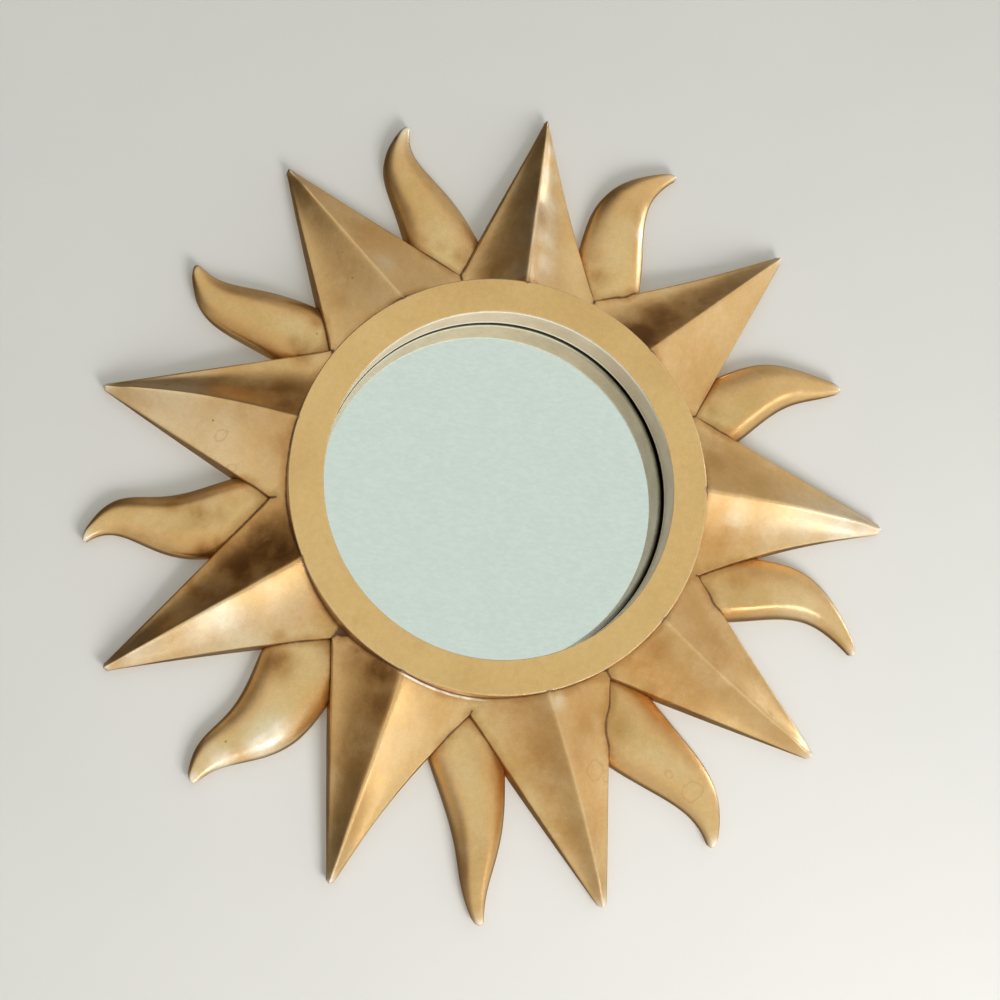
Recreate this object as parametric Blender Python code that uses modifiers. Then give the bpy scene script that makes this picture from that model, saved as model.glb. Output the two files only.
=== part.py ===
# Sunburst wall mirror: one cast frame of a ring with straight and flame rays, a round glass,
# a board that closes its back, and a toothed hanger.
# Everything is modelled lying on its back, x to the right, y up the wall and z towards the
# viewer, and an empty then stands it up so that the back lies in the plane y = 0.

import math

import bmesh
import bpy

# Ring
RING_OUTER_RADIUS = 0.152
OPENING_RADIUS = 0.1283
RING_HEIGHT = 0.047
RING_EDGE_BEVEL = 0.0012
RING_STEPS = 96

# Glass and board, stacked in the rebate behind the ring's lip
GLASS_RADIUS = 0.134
GLASS_THICKNESS = 0.003
BOARD_THICKNESS = 0.004
BOARD_DEPTH = 0.005
REBATE_CLEARANCE = 0.001
FIT_GAP = 0.0003

# Straight rays: the length of the longest one beyond the ring, and its notches' farthest reach
RAY_LENGTH = 0.157
NOTCH_DISTANCE = 0.0135
NOTCH_HEIGHT = 0.019
RIDGE_DROP = 0.0006
TIP_RIDGE_HEIGHT = 0.013
TIP_EDGE_HEIGHT = 0.008
TIP_HALF_WIDTH = 0.0035
SIDE_DRAFT = 0.002
FACET_HOLLOW = 1.35

# Length of every ray's blunt nose
TIP_NOSE = 0.006
# How the nose closes: share of its length passed, of the width left, of the height left
NOSE_SECTIONS = ((0.6, 0.8, 0.9), (1.0, 0.35, 0.6))

# Flame rays: the length of the longest one beyond the ring comes first
FLAME_LENGTH = 0.159
FLAME_TIP_HALF_WIDTH = 0.0035
FLAME_EDGE_HEIGHT = 0.007
FLAME_ROOT_HEIGHT = 0.011
FLAME_TIP_HEIGHT = 0.008
FLAME_SWELL = 0.010
FLAME_SWELL_LEAN = 0.85
FLAME_ROUNDNESS = 1.8
FLAME_DRAFT = 0.0015
FLAME_STATIONS = 10

# Toothed hanger in its shallow recess on the back of the topmost ray
HANGER_DISTANCE = 0.030
HANGER_LENGTH = 0.046
HANGER_WIDTH = 0.010
HANGER_THICKNESS = 0.0012
HANGER_FOOT = 0.009
TOOTH_COUNT = 7
TOOTH_DEPTH = 0.0022
TOOTH_GAP_SHARE = 0.84
RECESS_DEPTH = 0.0036
RECESS_MARGIN = 0.004
NAIL_HEAD_RADIUS = 0.0026
NAIL_HEAD_THICKNESS = 0.0010
NAIL_SHANK_RADIUS = 0.0009
NAIL_LENGTH = 0.012
NAIL_SIDES = 12

# How far the raw rays and hub reach below the back before it is planed flat
TRIM_DEPTH = 0.003

# Each straight ray's length as a share of the longest, bearing of its tip, bearing where its
# ridge meets the ring, and then, as shares of its own length, how far the ridge bows sideways
# at its middle and how far the left and the right edge bow inwards.
# Bearings are in degrees, anticlockwise from the viewer's right.
STRAIGHT_RAYS = (
    (0.86, 130.0, 125.5, 0.0, 0.0, 0.0),
    (0.93, 89.0, 90.0, 0.0, 0.0, 0.017),
    (0.93, 47.5, 50.0, 0.0, 0.017, 0.0),
    (0.955, 3.5, 7.0, 0.0, 0.0, 0.037),
    (0.975, -31.5, -32.0, -0.010, 0.0, 0.0),
    (1.0, -68.0, -70.0, 0.013, 0.0, 0.0),
    (0.96, -105.0, -110.0, 0.0, 0.036, 0.0),
    (0.97, -147.0, -150.5, 0.0, 0.013, 0.0),
    (0.89, -186.5, -189.0, -0.029, 0.0, 0.0),
)

# Share of the farthest notch's distance beyond the ring, and bearing, of the notch after each
# straight ray, going clockwise
NOTCHES = (
    (0.85, 106.5),
    (1.0, 70.0),
    (0.89, 29.0),
    (0.85, -14.5),
    (0.59, -51.0),
    (0.96, -89.0),
    (0.67, -129.5),
    (0.81, -169.0),
    (0.37, -212.0),
)

# Each flame's length as a share of the longest, bearing of its tip and of its root, and then, as
# shares of its own length, the sideways belly and curl of its centre line and its half width at
# the root, and last how late it narrows. There is one for each notch.
FLAMES = (
    (0.874, 110.5, 106.0, 0.090, -0.025, 0.209, 2.1),
    (0.899, 67.8, 67.5, 0.154, 0.0, 0.196, 2.6),
    (0.855, 25.5, 27.5, 0.103, 0.022, 0.199, 2.2),
    (0.931, -15.5, -15.0, 0.155, 0.017, 0.193, 1.9),
    (0.962, -50.5, -58.0, 0.095, -0.010, 0.225, 1.8),
    (1.0, -84.5, -92.5, 0.019, 0.019, 0.217, 1.2),
    (0.931, -128.0, -133.0, 0.041, 0.044, 0.230, 2.0),
    (0.912, -164.5, -168.0, -0.041, 0.048, 0.190, 2.5),
    (0.780, -209.0, -213.5, 0.093, -0.016, 0.206, 2.9),
)

# Heights above the back of what is stacked in the rebate
BOARD_FRONT = BOARD_DEPTH + BOARD_THICKNESS
GLASS_BACK = BOARD_FRONT + FIT_GAP
GLASS_FRONT = GLASS_BACK + GLASS_THICKNESS
LIP_HEIGHT = GLASS_FRONT + FIT_GAP
REBATE_RADIUS = GLASS_RADIUS + REBATE_CLEARANCE
HANGER_RADIUS = RING_OUTER_RADIUS + HANGER_DISTANCE


def clear_scene():
    for old in list(bpy.data.objects):
        bpy.data.objects.remove(old, do_unlink=True)


def new_collection(name):
    collection = bpy.data.collections.new(name)
    bpy.context.scene.collection.children.link(collection)
    return collection


def new_material(name, colour, roughness, metallic):
    material = bpy.data.materials.new(name)
    material.use_nodes = True
    shader = material.node_tree.nodes["Principled BSDF"]
    shader.inputs["Base Color"].default_value = (*colour, 1.0)
    shader.inputs["Roughness"].default_value = roughness
    shader.inputs["Metallic"].default_value = metallic
    return material


def add_object(name, bm, collection, parent, material=None):
    bmesh.ops.recalc_face_normals(bm, faces=bm.faces)
    mesh = bpy.data.meshes.new(name)
    bm.to_mesh(mesh)
    bm.free()
    thing = bpy.data.objects.new(name, mesh)
    collection.objects.link(thing)
    thing.parent = parent
    if material:
        mesh.materials.append(material)
    return thing


def add_cutter(name, bm, collection, parent):
    cutter = add_object(name, bm, collection, parent)
    cutter.hide_render = True
    cutter.display_type = "WIRE"
    return cutter


def turned(name, profile, collection, parent, material=None, steps=RING_STEPS):
    """A profile of (radius, height) points, top to bottom on the outside, turned about the axis."""
    mesh = bpy.data.meshes.new(name)
    points = [(radius, 0.0, height) for radius, height in profile]
    mesh.from_pydata(points, [(i, i + 1) for i in range(len(points) - 1)], [])
    thing = bpy.data.objects.new(name, mesh)
    collection.objects.link(thing)
    thing.parent = parent
    if material:
        mesh.materials.append(material)
    screw = thing.modifiers.new("turn", "SCREW")
    screw.steps = steps
    screw.render_steps = steps
    screw.use_merge_vertices = True
    screw.merge_threshold = 0.00001
    screw.use_smooth_shade = False
    return thing


def polar(radius, bearing):
    angle = math.radians(bearing)
    return radius * math.cos(angle), radius * math.sin(angle)


def between(a, b, share):
    return a + (b - a) * share


def line_through(start, end, at):
    """Value at one distance along the straight line through two (distance, value) points."""
    return between(start[1], end[1], (at - start[0]) / (end[0] - start[0]))


def loft(sections):
    """A closed body through rings of points that all have the same count."""
    bm = bmesh.new()
    rings = [[bm.verts.new(point) for point in section] for section in sections]
    for near, far in zip(rings, rings[1:]):
        for i in range(len(near)):
            after = (i + 1) % len(near)
            bm.faces.new((near[i], near[after], far[after], far[i]))
    bm.faces.new(rings[0])
    bm.faces.new(rings[-1])
    return bm


def straight_ray(ray, left_notch, right_notch):
    """A gabled ray with hollow facets, from inside the ring to a blunt tip."""
    share, tip_bearing, ridge_bearing, bow, left_hollow, right_hollow = ray
    reach = RAY_LENGTH * share
    turn = math.radians(tip_bearing)

    def along_and_side(notch_share, bearing):
        away = math.radians(bearing) - turn
        radius = RING_OUTER_RADIUS + NOTCH_DISTANCE * notch_share
        return radius * math.cos(away), radius * math.sin(away)

    left = along_and_side(*left_notch)
    right = along_and_side(*right_notch)
    ridge = along_and_side(0.0, ridge_bearing)
    tip = RING_OUTER_RADIUS + reach
    nose = tip - TIP_NOSE
    inside = OPENING_RADIUS
    ridge_top = RING_HEIGHT - RIDGE_DROP
    notch_at = (left[0] + right[0]) / 2

    # Distance along the ray, share of the width that is left, and share of the height
    stations = [(inside, 1.0, 1.0), (ridge[0], 1.0, 1.0)]
    stations += [(between(ridge[0], nose, share), 1.0, 1.0) for share in (0.25, 0.5, 0.75, 1.0)]
    stations += [(between(nose, tip, share), wide, high) for share, wide, high in NOSE_SECTIONS]
    across = (1.0, 0.7, 0.4, 0.15, 0.0, -0.15, -0.4, -0.7, -1.0)

    sections = []
    for at, width, height in stations:
        reached = min(at, nose)
        out = max(0.0, (reached - ridge[0]) / (nose - ridge[0]))
        arch = reach * math.sin(math.pi * out)
        left_edge = line_through(left, (nose, TIP_HALF_WIDTH), reached) - left_hollow * arch
        right_edge = line_through(right, (nose, -TIP_HALF_WIDTH), reached) + right_hollow * arch
        middle = line_through(ridge, (nose, 0.0), reached) + bow * arch
        crest = between(ridge_top, TIP_RIDGE_HEIGHT, out)
        edge = line_through((notch_at, NOTCH_HEIGHT), (nose, TIP_EDGE_HEIGHT), reached)
        points = []
        for v in across:
            side = between(middle, left_edge if v > 0 else right_edge, abs(v)) * width
            rise = edge + (crest - edge) * (1 - abs(v)) ** FACET_HOLLOW
            points.append((at, side, rise * height))
        points.append((at, right_edge * width - SIDE_DRAFT, -TRIM_DEPTH))
        points.append((at, left_edge * width + SIDE_DRAFT, -TRIM_DEPTH))
        sections.append(points)

    cos, sin = math.cos(turn), math.sin(turn)
    return loft([[(x * cos - y * sin, x * sin + y * cos, z) for x, y, z in points]
                 for points in sections])


def flame_centre(share, root, belly, curl):
    """Sideways place of a flame's centre line, beside the line from the axis to its tip."""
    wave = math.pi * share ** 2
    return root * (1 - share) + belly * math.sin(wave) + curl * math.sin(2 * wave)


def flame_ray(share_of_longest, tip_bearing, root_bearing, belly, curl, half_width, fullness):
    """A wavy ray with a soft rounded back, lower than the straight rays beside it."""
    reach = FLAME_LENGTH * share_of_longest
    root = math.radians(root_bearing - tip_bearing) * RING_OUTER_RADIUS
    nose_share = 1 - TIP_NOSE / reach
    shares = [nose_share * i / (FLAME_STATIONS - 1) for i in range(FLAME_STATIONS)]
    stations = [(share, 1.0, 1.0) for share in shares]
    stations += [(between(nose_share, 1.0, share), wide, high) for share, wide, high in NOSE_SECTIONS]
    across = (1.0, 0.8, 0.45, 0.0, -0.45, -0.8, -1.0)

    sections = []
    for share, width, height in stations:
        radius = RING_OUTER_RADIUS + reach * share
        centre = flame_centre(share, root, belly * reach, curl * reach)
        narrowing = share ** fullness
        half = between(half_width * reach, FLAME_TIP_HALF_WIDTH, narrowing) * width
        swell = FLAME_SWELL * math.sin(math.pi * share ** FLAME_SWELL_LEAN)
        crest = between(FLAME_ROOT_HEIGHT, FLAME_TIP_HEIGHT, share) + swell
        points = []
        for v in across:
            rise = FLAME_EDGE_HEIGHT + (crest - FLAME_EDGE_HEIGHT) * (1 - abs(v) ** FLAME_ROUNDNESS)
            away = math.degrees((centre + v * half) / radius)
            points.append((*polar(radius, tip_bearing + away), rise * height))
        for side in (-1, 1):
            away = math.degrees((centre + side * (half + FLAME_DRAFT)) / radius)
            points.append((*polar(radius, tip_bearing + away), -TRIM_DEPTH))
        sections.append(points)
    return loft(sections)


def box(width, height, bottom, top, centre=(0.0, 0.0)):
    bm = bmesh.new()
    bmesh.ops.create_cube(bm, size=1.0)
    for vert in bm.verts:
        vert.co.x = centre[0] + vert.co.x * width
        vert.co.y = centre[1] + vert.co.y * height
        vert.co.z = top if vert.co.z > 0 else bottom
    return bm


def rod(radius, bottom, top, centre, sides=NAIL_SIDES):
    bm = bmesh.new()
    bmesh.ops.create_cone(bm, cap_ends=True, segments=sides, radius1=radius, radius2=radius,
                          depth=top - bottom)
    bmesh.ops.translate(bm, verts=bm.verts, vec=(*centre, (top + bottom) / 2))
    return bm


def boolean(thing, operation, collection):
    modifier = thing.modifiers.new(operation.lower(), "BOOLEAN")
    modifier.operation = operation
    modifier.operand_type = "COLLECTION"
    modifier.collection = collection
    modifier.solver = "EXACT"


def nail_places():
    reach = (HANGER_LENGTH - HANGER_FOOT) / 2
    return {"left": -reach, "right": reach}


def make_frame(parts, rays, cutters, parent, material):
    """The casting: a turned hub with every ray joined to it, then bored, rebated and planed."""
    bevel = RING_EDGE_BEVEL
    hub = ((0.0, RING_HEIGHT), (RING_OUTER_RADIUS - bevel, RING_HEIGHT),
           (RING_OUTER_RADIUS, RING_HEIGHT - bevel), (RING_OUTER_RADIUS, -TRIM_DEPTH),
           (0.0, -TRIM_DEPTH))
    frame = turned("sunburst_frame", hub, parts, parent, material)
    for i, ray in enumerate(STRAIGHT_RAYS):
        solid = straight_ray(ray, NOTCHES[i - 1], NOTCHES[i])
        add_cutter(f"straight_ray_{i + 1}", solid, rays, parent)
    for i, flame in enumerate(FLAMES):
        add_cutter(f"flame_ray_{i + 1}", flame_ray(*flame), rays, parent)
    boolean(frame, "UNION", rays)

    above = RING_HEIGHT + TRIM_DEPTH
    opening = ((0.0, above), (OPENING_RADIUS + bevel, above),
               (OPENING_RADIUS + bevel, RING_HEIGHT), (OPENING_RADIUS, RING_HEIGHT - bevel),
               (OPENING_RADIUS, LIP_HEIGHT), (REBATE_RADIUS, LIP_HEIGHT),
               (REBATE_RADIUS, -2 * TRIM_DEPTH), (0.0, -2 * TRIM_DEPTH))
    hole = turned("opening_cutter", opening, cutters, parent)
    hole.hide_render = True
    hole.display_type = "WIRE"
    span = 2 * (RING_OUTER_RADIUS + 2 * max(RAY_LENGTH, FLAME_LENGTH))
    add_cutter("back_cutter", box(span, span, -3 * TRIM_DEPTH, 0.0), cutters, parent)
    centre = (0.0, HANGER_RADIUS)
    recess = box(HANGER_LENGTH + 2 * RECESS_MARGIN, HANGER_WIDTH + 2 * RECESS_MARGIN,
                 -4 * TRIM_DEPTH, RECESS_DEPTH, centre)
    add_cutter("hanger_recess_cutter", recess, cutters, parent)
    for side, x in nail_places().items():
        bore = rod(NAIL_SHANK_RADIUS + FIT_GAP, -TRIM_DEPTH, NAIL_LENGTH + FIT_GAP,
                   (x, HANGER_RADIUS))
        add_cutter(f"nail_bore_{side}_cutter", bore, cutters, parent)
    boolean(frame, "DIFFERENCE", cutters)
    return frame


def disc(name, radius, bottom, top, parts, parent, material):
    profile = ((0.0, top), (radius, top), (radius, bottom), (0.0, bottom))
    return turned(name, profile, parts, parent, material)


def make_hanger(parts, holes, parent, material):
    """A strip in the wall plane with its two ends stepped down to the recess floor."""
    half, step = HANGER_LENGTH / 2, HANGER_LENGTH / 2 - HANGER_FOOT
    ramp = RECESS_DEPTH
    floor = RECESS_DEPTH - FIT_GAP
    side = ((half, floor - HANGER_THICKNESS), (step, floor - HANGER_THICKNESS),
            (step - ramp, 0.0))
    under = ((half, floor), (step, floor), (step - ramp, HANGER_THICKNESS))
    outline = [*side, *((-x, z) for x, z in reversed(side))]
    outline += [*((-x, z) for x, z in under), *reversed(under)]
    low, high = HANGER_RADIUS - HANGER_WIDTH / 2, HANGER_RADIUS + HANGER_WIDTH / 2
    bm = loft([[(x, y, z) for x, z in outline] for y in (low, high)])
    hanger = add_object("toothed_hanger", bm, parts, parent, material)

    flat = 2 * (step - ramp)
    pitch = flat / TOOTH_COUNT
    for i in range(TOOTH_COUNT):
        x = (i - (TOOTH_COUNT - 1) / 2) * pitch
        wide = pitch * TOOTH_GAP_SHARE / 2
        tooth = ((x - wide, low - TOOTH_DEPTH), (x + wide, low - TOOTH_DEPTH),
                 (x, low + TOOTH_DEPTH))
        gap = loft([[(px, py, z) for px, py in tooth]
                    for z in (-TRIM_DEPTH, RECESS_DEPTH)])
        add_cutter(f"tooth_gap_{i + 1}_cutter", gap, holes, parent)
    for side_name, x in nail_places().items():
        hole = rod(NAIL_SHANK_RADIUS + FIT_GAP, -TRIM_DEPTH, 2 * RECESS_DEPTH, (x, HANGER_RADIUS))
        add_cutter(f"hanger_hole_{side_name}_cutter", hole, holes, parent)
    boolean(hanger, "DIFFERENCE", holes)
    return hanger


def make_nail(side, x, parts, parent, material):
    under_head = RECESS_DEPTH - HANGER_THICKNESS - 2 * FIT_GAP
    profile = ((0.0, NAIL_LENGTH), (NAIL_SHANK_RADIUS, NAIL_LENGTH - 2 * NAIL_SHANK_RADIUS),
               (NAIL_SHANK_RADIUS, under_head), (NAIL_HEAD_RADIUS, under_head),
               (NAIL_HEAD_RADIUS, under_head - NAIL_HEAD_THICKNESS),
               (0.0, under_head - NAIL_HEAD_THICKNESS))
    nail = turned(f"hanger_nail_{side}", profile, parts, parent, material, NAIL_SIDES)
    nail.location = (x, HANGER_RADIUS, 0.0)
    return nail


def main():
    clear_scene()
    parts = new_collection("wall_mirror")
    rays = new_collection("raw_rays")
    cutters = new_collection("frame_cutters")
    holes = new_collection("hanger_cutters")

    # The hanger's face is the origin, so the ring's centre hangs below it
    centre = bpy.data.objects.new("ring_centre", None)
    parts.objects.link(centre)
    centre.location = (0.0, 0.0, -HANGER_RADIUS)
    centre.rotation_euler = (math.radians(90), 0.0, 0.0)

    gilt = new_material("gilded_casting", (0.56, 0.36, 0.14), 0.38, 0.9)
    silvered = new_material("mirror_glass", (0.72, 0.80, 0.75), 0.03, 1.0)
    hardboard = new_material("back_board", (0.20, 0.12, 0.07), 0.8, 0.0)
    steel = new_material("zinc_steel", (0.55, 0.55, 0.53), 0.35, 1.0)

    make_frame(parts, rays, cutters, centre, gilt)
    disc("mirror_glass", GLASS_RADIUS, GLASS_BACK, GLASS_FRONT, parts, centre, silvered)
    disc("back_board", GLASS_RADIUS, BOARD_DEPTH, BOARD_FRONT, parts, centre, hardboard)
    make_hanger(parts, holes, centre, steel)
    for side, x in nail_places().items():
        make_nail(side, x, parts, centre, steel)


main()
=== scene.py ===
import math

import bmesh
import bpy
import numpy as np
from mathutils import Matrix, Vector, kdtree, noise


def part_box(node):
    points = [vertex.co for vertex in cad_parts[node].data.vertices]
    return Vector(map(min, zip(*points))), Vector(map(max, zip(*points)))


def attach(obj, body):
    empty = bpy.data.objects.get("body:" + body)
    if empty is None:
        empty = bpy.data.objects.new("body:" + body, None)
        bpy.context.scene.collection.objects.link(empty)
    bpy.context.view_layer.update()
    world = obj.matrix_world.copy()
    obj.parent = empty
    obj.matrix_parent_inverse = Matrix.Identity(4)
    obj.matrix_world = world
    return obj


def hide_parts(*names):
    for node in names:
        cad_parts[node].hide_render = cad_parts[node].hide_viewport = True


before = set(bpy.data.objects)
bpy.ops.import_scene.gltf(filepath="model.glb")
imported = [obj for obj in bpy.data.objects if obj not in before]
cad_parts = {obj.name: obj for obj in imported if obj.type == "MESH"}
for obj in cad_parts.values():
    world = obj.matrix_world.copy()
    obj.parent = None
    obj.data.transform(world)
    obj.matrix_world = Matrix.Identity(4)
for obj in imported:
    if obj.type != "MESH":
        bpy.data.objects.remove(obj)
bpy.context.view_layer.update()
print("frame loaded:", sorted(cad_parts))

# The ring's centre on the wall. Pieces are shaped lying on their backs, x right, y up and
# z towards the viewer, and then stood up against the wall at this place.
frameLow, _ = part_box("sunburst_frame")
glassLow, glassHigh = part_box("mirror_glass")
hangerLow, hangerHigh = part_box("toothed_hanger")
ringCentre = Vector(((glassLow.x + glassHigh.x) / 2, 0.0, (glassLow.z + glassHigh.z) / 2))
standUp = Matrix.Translation(ringCentre) @ Matrix.Rotation(math.radians(90), 4, "X")
ringHeight = -frameLow.y
glassRadius = (glassHigh.x - glassLow.x) / 2


def between(a, b, share):
    return a + (b - a) * share


def onLine(start, end, at):
    return between(start[1], end[1], (at - start[0]) / (end[0] - start[0]))


def polar(radius, bearing):
    angle = math.radians(bearing)
    return radius * math.cos(angle), radius * math.sin(angle)


def arcPoints(centre, radius, fromDegrees, toDegrees, steps):
    angles = [math.radians(between(fromDegrees, toDegrees, i / steps)) for i in range(steps + 1)]
    return [(centre[0] + radius * math.cos(a), centre[1] + radius * math.sin(a)) for a in angles]


# Meshes and joining

def newObject(name, bm):
    bmesh.ops.recalc_face_normals(bm, faces=bm.faces)
    mesh = bpy.data.meshes.new(name)
    bm.to_mesh(mesh)
    bm.free()
    thing = bpy.data.objects.new(name, mesh)
    bpy.context.scene.collection.objects.link(thing)
    return thing


def spinProfile(name, profile, steps, centre=(0.0, 0.0)):
    bm = bmesh.new()
    verts = [bm.verts.new((radius, 0.0, height)) for radius, height in profile]
    edges = [bm.edges.new(pair) for pair in zip(verts, verts[1:])]
    bmesh.ops.spin(bm, geom=verts + edges, cent=(0, 0, 0), axis=(0, 0, 1), dvec=(0, 0, 0),
                   angle=math.tau, steps=steps, use_merge=True)
    bmesh.ops.remove_doubles(bm, verts=bm.verts, dist=0.000001)
    bmesh.ops.translate(bm, verts=bm.verts, vec=(*centre, 0.0))
    return newObject(name, bm)


def sheetOverRows(name, rows):
    # a grid laid over rows of points, then closed at both ends and underneath
    across, along = len(rows[0]), len(rows)
    bm = bmesh.new()
    bmesh.ops.create_grid(bm, x_segments=across - 1, y_segments=along - 1, size=1.0)
    verts = list(bm.verts)
    for vert, point in zip(verts, (point for row in rows for point in row)):
        vert.co = point
    for row in (verts[:across], verts[-across:]):
        ends = set(row)
        floorEdge = bm.edges.new((row[0], row[-1]))
        rim = [e for e in bm.edges if e.is_boundary and set(e.verts) <= ends]
        bmesh.ops.edgeloop_fill(bm, edges=rim + [floorEdge])
    bmesh.ops.holes_fill(bm, edges=[e for e in bm.edges if e.is_boundary], sides=0)
    return newObject(name, bm)


def combine(target, others, operation):
    # the real meshes are joined or cut, one after another, and the tools are thrown away
    for other in others:
        modifier = target.modifiers.new(operation, "BOOLEAN")
        modifier.operation = operation
        modifier.solver = "MANIFOLD"
        modifier.object = other
    graph = bpy.context.evaluated_depsgraph_get()
    mesh = bpy.data.meshes.new_from_object(target.evaluated_get(graph))
    target.modifiers.clear()
    old = target.data
    target.data = mesh
    bpy.data.meshes.remove(old)
    for other in others:
        bpy.data.objects.remove(other, do_unlink=True)
    mesh.name = target.name


def standAgainstWall(thing, sharpDegrees):
    thing.data.transform(standUp)
    thing.data.shade_smooth()
    thing.data.set_sharp_from_angle(angle=math.radians(sharpDegrees))


def dress(thing, material, nodes):
    thing.data.materials.clear()
    thing.data.materials.append(material)
    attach(thing, "root")
    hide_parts(*nodes)


# The casting

casting = {
    "outerRadius": 0.152,
    "openingRadius": 0.1281,    # at the glass
    "mouthRadius": 0.1268,      # at the face, a little narrower
    "edgeRounding": 0.0014,
    "mouthRounding": 0.0008,
    "rebateRadius": glassRadius + 0.001,
    "lipHeight": -glassLow.y + 0.0003,
    "steps": 384,
    "trim": 0.003,          # how far the raw forms reach below the back before it is planed
}

straight = {
    "length": 0.157,
    "notchDistance": 0.0135,
    "notchHeight": 0.019,
    "ridgeDrop": 0.0004,
    "tipRidgeHeight": 0.0126,
    "tipEdgeHeight": 0.0064,
    "flatReach": 0.018,     # how far from its tip a ray begins to flatten, and how much it does
    "flattening": 0.45,
    "draft": 0.0020,
    "ridgeSoftness": 0.0012,
    "rimRounding": 0.0015,
    "rows": 66,
    "facetPoints": 20,
    "valleyWidth": 0.011,   # the cove between two neighbours, from the notch in to the ring
    "valleyRise": 0.20,
    # share of the longest, tip bearing, ridge bearing at the ring, bow, left and right hollow
    "rays": (
        (0.868, 130.0, 125.5, 0.0, 0.0, 0.0),
        (0.933, 89.0, 90.0, 0.0, 0.0, 0.017),
        (0.943, 47.5, 50.0, 0.0, 0.017, 0.0),
        (0.959, 3.5, 7.0, 0.018, 0.0, 0.037),
        (0.991, -31.5, -32.0, -0.010, 0.0, 0.0),
        (1.006, -67.8, -70.0, 0.013, 0.0, 0.0),
        (0.967, -105.2, -110.0, 0.0, 0.036, 0.0),
        (0.981, -147.0, -150.5, 0.0, 0.013, 0.0),
        (0.894, -186.5, -189.0, -0.029, 0.0, 0.0),
    ),
    # half width of the tip in millimetres, and how deeply the left and right facets are scooped
    "finish": (
        (3.2, 1.30, 1.30), (2.3, 1.40, 2.40), (3.4, 1.60, 1.35), (4.6, 1.45, 1.65), (4.1, 1.30, 1.40),
        (4.1, 1.30, 1.65), (3.5, 1.40, 1.25), (3.4, 1.50, 1.50), (3.4, 1.30, 1.90),
    ),
    "wearAndHighlight": (0.1, 0.4, 0.8, 1.0, 0.8, 0.9, 0.9, 0.5, 0.6),     # how far each tip is worn bright, with a painted highlight
    # share of the farthest notch's distance beyond the ring, and bearing
    "notches": (
        (0.85, 106.5), (1.0, 70.0), (0.89, 29.0), (0.85, -14.5), (0.59, -51.0),
        (0.96, -89.0), (0.67, -129.5), (0.81, -169.0), (0.37, -212.0),
    ),
}

flame = {
    "length": 0.159,
    "tipHalfWidth": 0.0032,
    "edgeHeight": 0.0074,
    "rootHeight": 0.011,
    "tipHeight": 0.0084,
    "swell": 0.010,
    "swellLean": 0.85,
    "roundness": 2.3,
    "draft": 0.0015,
    "rimRounding": 0.0024,
    "rows": 56,
    "backPoints": 14,
    "rootInside": 0.006,    # how far the root reaches in under the ring's edge
    # how far each tip is worn bright, with a painted highlight
    "wearAndHighlight": (1.0, 0.6, 0.5, 0.8, 0.9, 0.7, 1.0, 0.9, 0.2),
    # how far the crest leans from the middle towards the left edge, as a share of the half width
    "leans": (0.05, -0.35, -0.30, -0.45, 0.10, 0.0, 0.20, -0.35, 0.0),
    # share of the longest, tip bearing, root bearing, belly, curl, half width, lateness
    "flames": (
        (0.874, 110.5, 106.0, 0.090, -0.025, 0.209, 2.1),
        (0.899, 67.8, 67.5, 0.154, 0.0, 0.196, 2.6),
        (0.855, 25.5, 27.5, 0.103, 0.022, 0.199, 2.2),
        (0.931, -15.5, -15.0, 0.155, 0.017, 0.193, 1.9),
        (0.962, -50.5, -58.0, 0.095, -0.010, 0.225, 1.8),
        (1.0, -84.5, -92.5, 0.019, 0.019, 0.217, 1.2),
        (0.931, -128.0, -133.0, 0.041, 0.044, 0.230, 2.0),
        (0.912, -164.5, -168.0, -0.041, 0.048, 0.190, 2.5),
        (0.780, -209.0, -213.5, 0.093, -0.016, 0.206, 2.9),
    ),
}

# the blunt end of every ray, which draws back underneath
nose = {"length": 0.0042, "rows": 10, "squareness": 2.2, "endHeight": 0.60, "endWidth": 0.20,
        "undercut": 0.0030, "tipDraft": -0.0006}

handwork = {"waves": 38.0, "depth": 0.00035}    # the slow unevenness of a form made by hand


def unevenness(x, y):
    return handwork["depth"] * noise.noise(Vector((x, y, 0.0)) * handwork["waves"])


def drawnBack(height, top, passed):
    # how far a point of the nose stays behind the row's top
    below = min(1.0, max(0.0, 1 - height / top))
    return nose["undercut"] * passed * below ** 1.5


def noseShares(row):
    # how a blunt nose closes: share of its length passed, of the width and of the height left
    passed = math.sin(math.pi / 2 * row / nose["rows"])
    left = (1 - passed ** nose["squareness"]) ** (1 / nose["squareness"])
    return passed, max(left, nose["endWidth"]), between(nose["endHeight"], 1.0, left)


def easing(share):
    share = min(1.0, max(0.0, share))
    return share * share * (3 - 2 * share)


def overTheTop(ends, middle, heightAt, roundings, draft, points):
    # one row across a ray: up the left wall, round the rim, over the back and down again
    sides = []
    for sign, rim, rounding in ((1, ends[0], roundings[0]), (-1, ends[1], roundings[1])):
        half = abs(rim - middle)
        radius = min(rounding, half * 0.55)
        side = [(rim + sign * draft, -casting["trim"])]
        low = heightAt(rim) - radius
        side += [(rim + sign * draft * (1 - up), low * up) for up in (0.02, 0.35, 0.7)]
        for turn in (0, 18, 36, 54, 72):
            angle = math.radians(turn)
            place = rim - sign * radius * (1 - math.cos(angle))
            side.append((place, heightAt(place) - radius * (1 - math.sin(angle))))
        start = 1 - radius / half
        for i in range(points):
            t = 1 - i / points
            place = middle + sign * half * start * (0.2 * t + 0.8 * t * t)
            side.append((place, heightAt(place)))
        sides.append(side)
    return sides[0] + [(middle, heightAt(middle))] + sides[1][::-1]


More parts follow.
